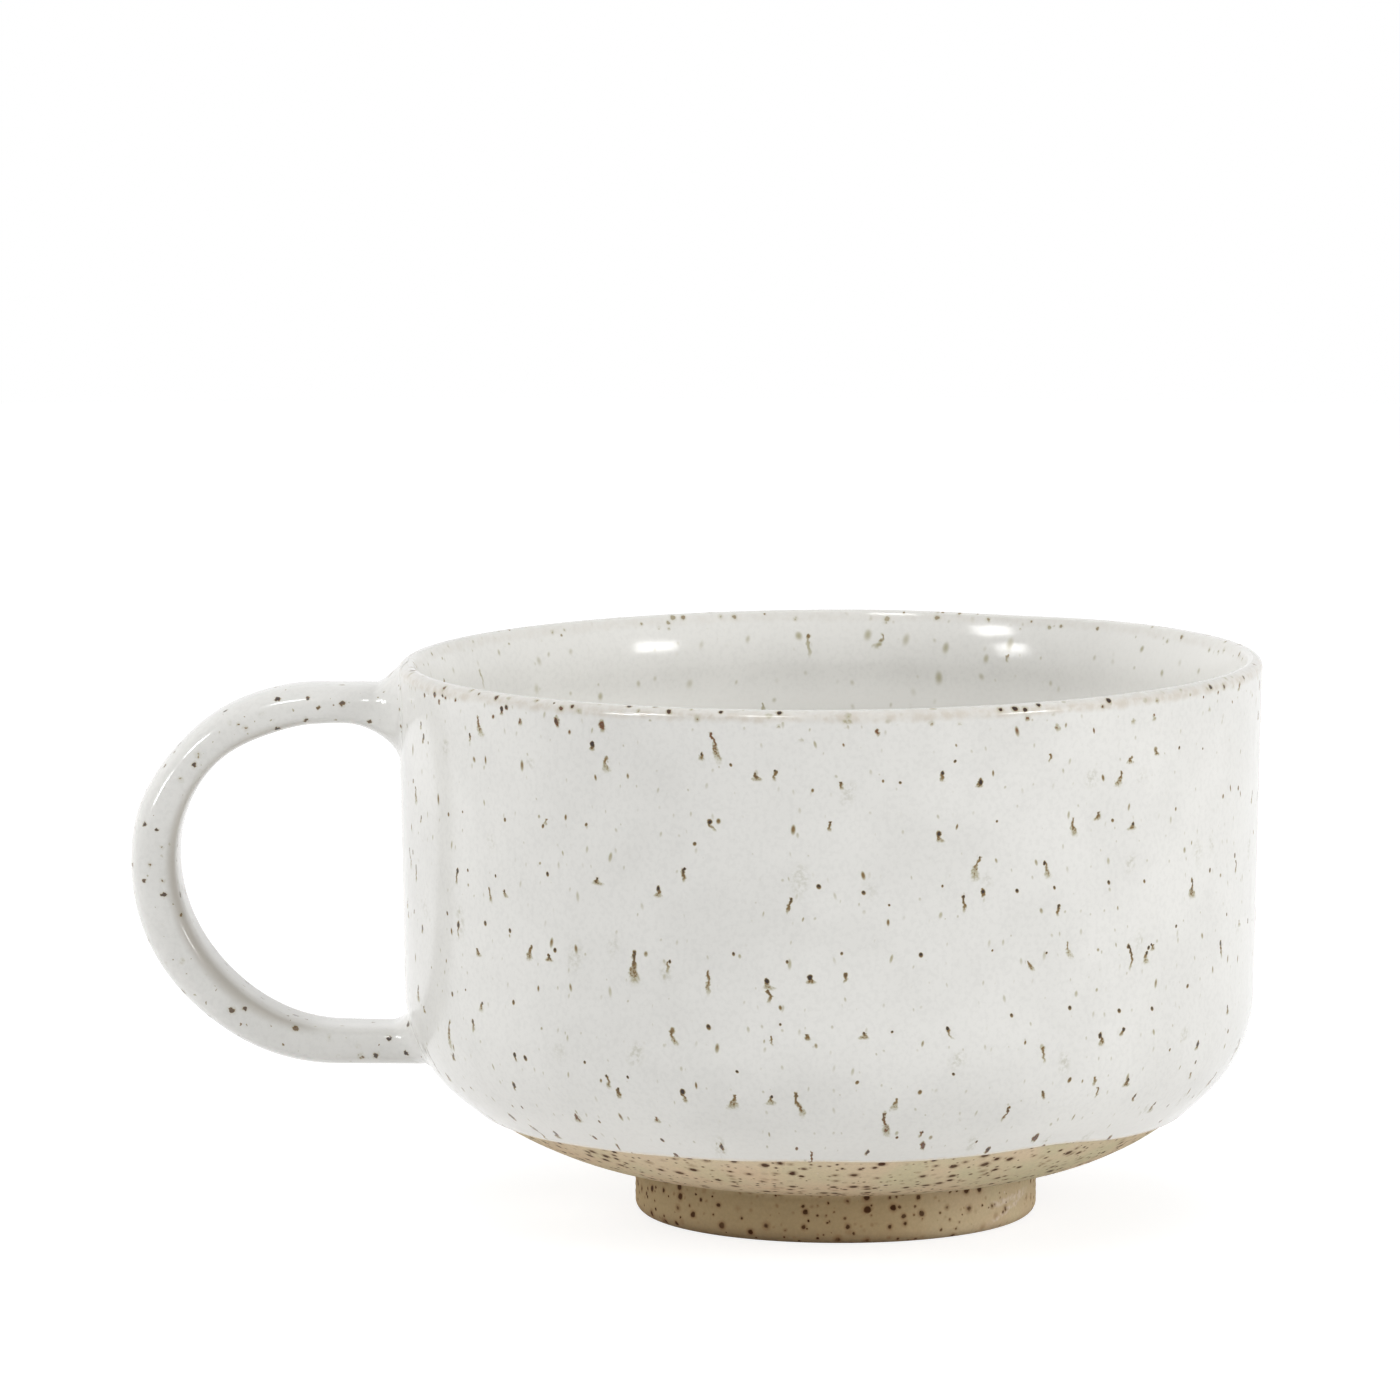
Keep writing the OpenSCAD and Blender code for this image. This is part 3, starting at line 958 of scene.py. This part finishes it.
def runs(flat, ragged, fine, spacing, seed, share, longest):
    """Iron that has run down the wall: a dark head, and a tail that spreads, frays and fades below it."""
    offset, lots, point = scattered(flat, spacing, seed, flat=True)
    across, up, _ = parts_of(offset)
    _, height, _ = parts_of(flat)
    length = 1.0 + (longest - 1.0) * squared(lots[0])
    fall = 0.5 - up / length
    lean = 0.7 * (another(lots[0], 13.0) - 0.5)
    wander = cloud(from_parts(point, lots[2] * 90.0, height, 0.0), 1.7, 0.0) - 0.5
    middle = across - lean * length * (fall - 0.5) - 1.1 * wander + 0.95 * (ragged - 0.5)
    pool = squared(another(lots[1], 19.0)) * over(fall, 0.2, 0.8)
    half = 0.2 + 0.1 * lots[2] + 0.8 * pool
    body = 1 - over(abs(middle) / half, 0.15, 1.3)
    tail = over(fall, -0.05, 0.06) * (1 - over(fall, 0.62, 1.08))
    veined = 0.7 + 0.55 * over(fine, 0.42, 0.6) * over(pool, 0.05, 0.3) + 0.3 * (1 - over(pool, 0.05, 0.3))
    strength = 0.6 + 0.4 * another(lots[2], 7.0)
    stain = body * tail * veined * strength * (0.98 - 0.44 * over(fall, 0.0, 0.9))
    head_r = 0.15 + 0.24 * another(lots[1], 11.0)
    head_off = from_parts(up, across + 0.5 * lean * length, 0.75 * (up - 0.46 * length), 0.0)
    head = 1 - over(length_of(head_off) + 0.5 * (ragged - 0.5), 0.45 * head_r, 1.3 * head_r)
    head = head * over(another(lots[2], 3.0), 0.2, 0.5)
    belts = 0.38 * (1 - over(height, 22.0, 34.0)) + 0.2 * over(height, 72.0, 76.0)
    gathered = lots[1] + 0.9 * (cloud(point, 34.0, 1.0) - 0.5) + belts
    return larger(stain, head) * drawn(gathered, share)


def dashes(flat, spacing, seed, share, radii, tallest, strengths, core=0.3):
    """Small upright dashes, between two radii and two strengths, darker at the top than at the bottom."""
    offset, lots, point = scattered(flat, spacing, seed, flat=True)
    across, up, _ = parts_of(offset)
    radius = radii[0] + (radii[1] - radii[0]) * lots[0]
    lean = 0.5 * (another(lots[1], 17.0) - 0.5)
    tall = up / (1.0 + (tallest - 1.0) * lots[2])
    away = length_of(from_parts(up, across + lean * up, tall, 0.0))
    strength = strengths[0] + (strengths[1] - strengths[0]) * another(lots[0], 5.0)
    gathered = lots[1] + 0.5 * (cloud(point, 26.0, 1.0) - 0.5)
    shade = (1 - over(away, core * radius, 1.35 * radius)) * (0.8 + 0.35 * tall / radius)
    return shade * strength * drawn(gathered, share)


# %% Gloss, and specks along the lip
LIP_SPECKS = dict(spacing=1.9, seed=5.3, least=0.17, most=0.5, share=0.85)


def end_glaze(material, shader, place, colour, mottle, iron, mirror):
    """Finishes a coat: gloss, a faint orange peel, and iron that lies a little matt and proud."""
    roughness = 0.1 + 0.05 * mottle + 0.2 * iron
    relief = 0.6 * cloud(place, 2.2, 2.0) + 0.2 * mottle + 0.2 * iron
    feed(shader, colour, roughness, relief, 0.05, 0.35)
    shader.inputs["Specular IOR Level"].default_value = mirror
    print(f"{material.name}: {len(material.node_tree.nodes)} nodes")
    return material


def lip_iron(place, level):
    """Rusty specks along the lip."""
    speck, halo, lot = round_specks(uneven(place, 0.7, 0.5), **LIP_SPECKS)
    return larger(speck * (0.7 + 0.35 * lot), halo * 0.26) * over(level, 78.4, 79.6)


# %% The finish of the outer coat
SMEARS = dict(spacing=(11.0, 13.0), seed=1.9, share=0.42, radii=(0.8, 1.4), tallest=2.0,
              strengths=(0.3, 0.6))
FLECKS = dict(spacing=(2.4, 3.0), seed=4.4, share=0.5, radii=(0.12, 0.26), tallest=2.6,
              strengths=(0.05, 0.27))
STROKES = dict(spacing=(5.2, 6.2), seed=7.2, share=0.42, radii=(0.15, 0.34), tallest=3.0,
               strengths=(0.15, 0.85))
POINTS = dict(spacing=(7.6, 8.8), seed=12.6, share=0.45, radii=(0.16, 0.34), tallest=1.4,
              strengths=(0.85, 1.2), core=0.5)
DRIPS = dict(spacing=(6.0, 6.6), seed=4.1, share=0.55, radii=(0.3, 0.55), tallest=2.2,
             strengths=(0.8, 1.2), core=0.2)
LONG_RUNS = dict(spacing=(12.5, 14.5), seed=2.7, share=0.55, longest=5.4)
SHORT_RUNS = dict(spacing=(8.0, 9.5), seed=9.4, share=0.5, longest=3.0)


def outer_finish():
    """The outer coat, with runs down the wall."""
    material, shader, place = new_finish("white_glaze_outside")
    colour, mottle = glaze_ground(place)
    flat, off_seam = wall_map(place)
    level, above = rim_level(place), above_line(place)
    # Painted light: the belly just above the glaze line, which faces down, is whitened.
    colour = blend(colour, GLAZE_PAINTED_LIGHT, (1 - over(above, 2.0, 7.0)) * 0.35)
    ragged, fine = cloud(flat, 0.7, 2.0), cloud(flat, 0.4, 1.0)
    smears = dashes(flat, **SMEARS)
    colour = blend(colour, SMEAR_GREY, smears * over(ragged, 0.38, 0.66) * off_seam)
    iron = dashes(flat, **FLECKS)
    iron = larger(iron, dashes(flat, **STROKES))
    iron = larger(iron, dashes(flat, **POINTS))
    iron = larger(iron, runs(flat, ragged, fine, **LONG_RUNS))
    iron = larger(iron, runs(flat, ragged, fine, **SHORT_RUNS))
    belts = larger(1 - over(level, 20.0, 23.5), over(level, 76.5, 78.0))
    drips = dashes(uneven(flat, 0.8, 1.1), **DRIPS)
    iron = larger(iron, belts * drips)
    iron = iron * off_seam * (1 - over(level, *CROWN))
    iron = larger(iron, lip_iron(place, level))
    colour = blend(colour, GLAZE_THIN, lip_break(place, level) * 0.5)
    thin_edge = 1 - over(above + 0.5 * (ragged - 0.5), 0.0, 0.75)
    colour = blend(colour, CLAY_ROSY, thin_edge * 0.85)
    red = larger(1 - over(level, 20.0, 27.0), over(level, 74.0, 78.0))
    colour = iron_stain(colour, iron, red * 0.8)
    return end_glaze(material, shader, place, colour, mottle, iron, mirror=0.35)


glaze_outside = outer_finish()

# %% The finish of the inner coat
SOFT_RUNS = dict(spacing=(9.0, 11.0), seed=5.8, share=0.55, longest=4.0)
SOFT_SPOTS = dict(spacing=(5.8, 6.4), seed=3.3, share=0.7, radii=(0.35, 0.8), tallest=1.7,
                  strengths=(0.12, 0.42), core=0.0)
SOFT_FLECKS = dict(spacing=(4.1, 4.6), seed=8.3, share=0.6, radii=(0.25, 0.5), tallest=1.6,
                   strengths=(0.05, 0.25), core=0.0)
FLOOR_SPOTS = dict(spacing=5.0, seed=6.1, least=0.25, most=0.7, share=0.7)


def inner_finish():
    """The inner coat: painted light at its top, low down and on its right, with soft spots on its wall and
    its floor.
    """
    material, shader, place = new_finish("white_glaze_inside")
    colour, mottle = glaze_ground(place)
    flat, off_seam = wall_map(place)
    level = rim_level(place)
    x, _, _ = parts_of(place)
    # Painted light: whiter at the top band, low down on the wall and on the right side.
    inner_painted_light = 0.2 * over(level, 73.0, 78.0) + 0.6 * (1 - over(level, 67.0, 72.0)) + 0.4 * over(x, 25.0, 50.0)
    colour = blend(colour, GLAZE_PAINTED_LIGHT, inner_painted_light)
    ragged, fine = cloud(flat, 0.9, 1.0), cloud(flat, 0.6, 0.0)
    iron = 0.55 * runs(flat, ragged, fine, **SOFT_RUNS)
    iron = larger(iron, dashes(flat, **SOFT_SPOTS))
    iron = larger(iron, dashes(flat, **SOFT_FLECKS))
    on_wall = over(level, 24.0, 28.0)
    iron = iron * off_seam * on_wall * (1 - over(level, *CROWN))
    spot, halo, lot = round_specks(place, **FLOOR_SPOTS)
    on_floor = larger(spot * (0.3 + 0.4 * lot), halo * 0.25) * (1 - on_wall)
    iron = larger(larger(iron, on_floor), 0.52 * lip_iron(place, level))
    colour = blend(colour, GLAZE_THIN, lip_break(place, level) * 0.15)
    colour = iron_stain(colour, iron, over(level, 76.0, 79.0) * 0.4)
    return end_glaze(material, shader, place, colour, mottle, iron, mirror=0.25)


glaze_inside = inner_finish()

# %% The finish of the handle's coat
HANDLE_SPECKS = dict(spacing=2.35, seed=3.7, least=0.16, most=0.5, share=0.72)
HANDLE_DUST = dict(spacing=1.6, seed=9.2, least=0.08, most=0.22, share=0.6)


def handle_finish():
    """The coat on the strap: thin glaze and painted shade along its inner edges, painted shade inside the
    loop, and rusty specks.
    """
    material, shader, place = new_finish("white_glaze_handle")
    colour, mottle = glaze_ground(place)
    x, y, height = parts_of(place)
    above = over(height, loop_z - 0.5, loop_z + 0.5)
    centre_x = lower_bend_x + (upper_bend_x - lower_bend_x) * above
    radius = LOWER_BEND_R + (UPPER_BEND_R - LOWER_BEND_R) * above
    out = length_of(from_parts(x, x - centre_x, 0.0, height - loop_z)) - radius
    # Darker along the strap's inner edges, partly thin glaze and partly painted shade; painted shade inside
    # the loop.
    edge = (1 - over(out, -3.0, -1.4)) * over(abs(y), 4.2, 5.8)
    inner = larger(edge * 0.75, (1 - over(out, -3.2, -2.6)) * 0.4) * (1 - over(x, -78.0, -72.0))
    colour = blend(colour, GLAZE_THIN_AND_SHADED_EDGE, inner)
    ragged = uneven(place, 0.6, 0.8)
    spot, halo, lot = round_specks(ragged, **HANDLE_SPECKS)
    dust, _, dust_lot = round_specks(ragged, **HANDLE_DUST)
    iron = larger(larger(spot * (0.72 + 0.33 * lot), halo * 0.14), dust * (0.15 + 0.5 * dust_lot))
    colour = iron_stain(colour, iron, 0.6 * lot)
    return end_glaze(material, shader, place, colour, mottle, iron, mirror=0.7)


glaze_handle = handle_finish()

# %% [markdown]
# ## Dressing the part
# Each piece takes its finish, rides on the part's one body and stands for one node of the imported part.
# The mug has no moving piece, so everything rides on root.

# %% Finishes, bodies and nodes
dressing = [
    (clay_bowl, stoneware, "bowl", "clay"),
    (turned_foot, stoneware, "foot_ring", "clay"),
    (pulled_strap, stoneware, "handle_strap", "clay"),
    (upper_joint, stoneware, "upper_handle_joint", "clay"),
    (lower_joint, stoneware, "lower_handle_joint", "clay"),
    (outer_coat, glaze_outside, "outer_glaze", "glaze"),
    (inner_coat, glaze_inside, "inner_glaze", "glaze"),
    (handle_coat, glaze_handle, "handle_glaze", "glaze"),
]
for piece, finish, node, slot in dressing:
    note_line(piece)
    piece.data.materials.append(finish)
    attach(piece, "root")
    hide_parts(node)
print(f"{len(dressing)} pieces dressed")

# %% [markdown]
# ## Floor and world
# A product photograph stands its object on white. The floor is white to the camera and to reflections,
# and still takes the mug's shadow. To the light that bounces off it, it is plain white paper. Seen from
# below it is clear, and it is open where the foot covers it, so that the underside can be looked at in
# the light of the room.

# %% The floor
FLOOR_R = 1300.0
FLOOR_OPEN_R = 27.4
FLOOR_SIDES = 96
PAPER = (0.9, 0.9, 0.9, 1.0)
FAINT = (0.34, 0.34, 0.34, 1.0)
WHITE = (1.0, 1.0, 1.0, 1.0)
SEEN_LEVEL = 0.8


def seen_directly(wire):
    """1 for rays from the camera and for reflections, and 0 for light that bounces about."""
    camera = wire.node("LightPath", {}, {}, "Is Camera Ray")
    glossy = larger(camera.beside("Is Glossy Ray"), camera.beside("Is Transmission Ray"))
    return larger(camera, glossy)


def floor_finish():
    """White paper that keeps the shadow."""
    material = bpy.data.materials.new("white_floor")
    material.use_nodes = True
    tree = material.node_tree
    tree.nodes.clear()
    start = Wire(tree)
    paper = start.node("BsdfDiffuse", {}, {"Color": PAPER})
    faint = start.node("BsdfDiffuse", {}, {"Color": FAINT})
    lit = start.node("Emission", {}, {"Color": WHITE, "Strength": SEEN_LEVEL})
    white = start.node("AddShader", {}, {0: faint, 1: lit})
    direct = start.node("MixShader", {}, {0: seen_directly(start), 1: paper, 2: white})
    behind = start.node("NewGeometry", {}, {}, "Backfacing")
    clear = start.node("BsdfTransparent", {}, {})
    both = start.node("MixShader", {}, {0: behind, 1: direct, 2: clear})
    start.node("OutputMaterial", {}, {"Surface": both})
    return material


floor_turns = np.linspace(0, 2 * np.pi, FLOOR_SIDES, endpoint=False)
floor_points = []
for r in (FLOOR_OPEN_R, FLOOR_R):
    floor_points += [(FOOT_SHIFT + r * math.cos(t), r * math.sin(t), 0.0) for t in floor_turns]
floor_faces = []
for i in range(FLOOR_SIDES):
    after = (i + 1) % FLOOR_SIDES
    floor_faces.append((i, FLOOR_SIDES + i, FLOOR_SIDES + after, after))
studio_floor = as_piece("studio_floor", floor_points, floor_faces)
studio_floor.data.materials.append(floor_finish())

# %% The world
WORLD_LEVEL = 0.3
world = bpy.data.worlds.new("studio")
bpy.context.scene.world = world
world.use_nodes = True
world.node_tree.nodes.clear()
sky = Wire(world.node_tree)
level = WORLD_LEVEL + (1 - WORLD_LEVEL) * seen_directly(sky)
background = sky.node("Background", {}, {"Color": WHITE, "Strength": level})
sky.node("OutputWorld", {}, {"Surface": background})
bpy.context.scene.view_settings.view_transform = "Standard"
print(f"the world lights at {WORLD_LEVEL}")

# %% [markdown]
# ## Soft boxes and panels
# The bright patches on the inside, the glints on the lip and the streaks on the strap come from soft
# boxes to the left and right of the camera and above it. Each is an area lamp aimed at the mug that only
# shows in its gloss. Wide panels at the sides, behind and above stand for the white walls of the studio.
# They light the mug softly, and are left out of its gloss, where the white room shows already. So gloss
# and light can be set apart.

# %% The lamps
AIM = np.array([0.0, 0.0, 0.05])
BOX_AWAY = 2.0
BOX_RADIANCE = 24
PANEL_AWAY = 1.8


def standing(side, up, back, spot):
    """The place of a lamp or a camera: its own right, its up, its back and where it is."""
    return Matrix([[side[i], up[i], back[i], spot[i]] for i in range(3)] + [[0, 0, 0, 1]])


def lamp_at(name, right_of_camera, elevation, distance, wide, tall, radiance):
    """An area lamp aimed at the mug, at an angle to the right of the camera and one above the table."""
    a, e = math.radians(right_of_camera), math.radians(elevation)
    toward = np.array([math.sin(a) * math.cos(e), -math.cos(a) * math.cos(e), math.sin(e)])
    lamp = bpy.data.lights.new(name, "AREA")
    lamp.shape = "RECTANGLE"
    lamp.size, lamp.size_y = wide, tall
    lamp.energy = radiance * wide * tall * math.pi
    holder = bpy.data.objects.new(name, lamp)
    side = np.cross([0.0, 0.0, 1.0], toward)
    side /= np.linalg.norm(side)
    up = np.cross(toward, side)
    holder.matrix_world = standing(side, up, toward, AIM + distance * toward)
    holder.visible_camera = False
    bpy.context.scene.collection.objects.link(holder)
    print(f"{name}: {lamp.energy:.1f} W")
    return holder


def soft_box(name, right_of_camera, elevation, wide, tall):
    """A bright box that only shows in the gloss."""
    lamp_at(name, right_of_camera, elevation, BOX_AWAY, wide, tall, BOX_RADIANCE).visible_diffuse = False


def panel(name, right_of_camera, elevation, wide, radiance):
    """A square white panel that lights the mug and doesn't show in its gloss."""
    lamp_at(name, right_of_camera, elevation, PANEL_AWAY, wide, wide, radiance).visible_glossy = False


soft_box("right_box", 53, 17, 0.42, 0.32)
soft_box("left_low_box", -56, 15, 0.33, 0.28)
soft_box("left_high_box", -52, 30, 0.38, 0.28)
soft_box("left_top_box", -22, 49, 0.35, 0.25)
panel("right_wall", 63, 22, 1.0, 6.0)
panel("left_wall", -66, 25, 1.0, 3.85)
panel("left_back_wall", -125, 24, 1.0, 3.2)
panel("ceiling", 0, 78, 1.5, 1.3)

# %% [markdown]
# ## The camera
# Its place was fitted to the outline of the mug: 1.3 metres off and 16 cm above the lip, with a long
# lens. The photograph is 1400 pixels wide, which gives the lens from the focal length in pixels.

# %% The camera at the photograph's place
CAMERA_BACK = 1300.0
CAMERA_UP = 237.11
FOCAL_PIXELS = 9034.07
FRAME_PIXELS = 1400
CAMERA_YAW = -0.0145
CAMERA_PITCH = 0.12425
CAMERA_ROLL = 0.00169

yaw_c, yaw_s = math.cos(CAMERA_YAW), math.sin(CAMERA_YAW)
pitch_c, pitch_s = math.cos(CAMERA_PITCH), math.sin(CAMERA_PITCH)
forward = np.array([yaw_s * pitch_c, yaw_c * pitch_c, -pitch_s])
level_side = np.array([yaw_c, -yaw_s, 0.0])
level_up = np.cross(level_side, forward)
side = math.cos(CAMERA_ROLL) * level_side + math.sin(CAMERA_ROLL) * level_up
up = math.cos(CAMERA_ROLL) * level_up - math.sin(CAMERA_ROLL) * level_side

lens = bpy.data.cameras.new("photograph")
lens.sensor_width = 36.0
lens.lens = lens.sensor_width * FOCAL_PIXELS / FRAME_PIXELS
camera = bpy.data.objects.new("photograph", lens)
where = (0.0, -CAMERA_BACK * MM, CAMERA_UP * MM)
camera.matrix_world = standing(side, up, -forward, where)
bpy.context.scene.collection.objects.link(camera)
bpy.context.scene.camera = camera
print(f"lens {lens.lens:.1f} mm")
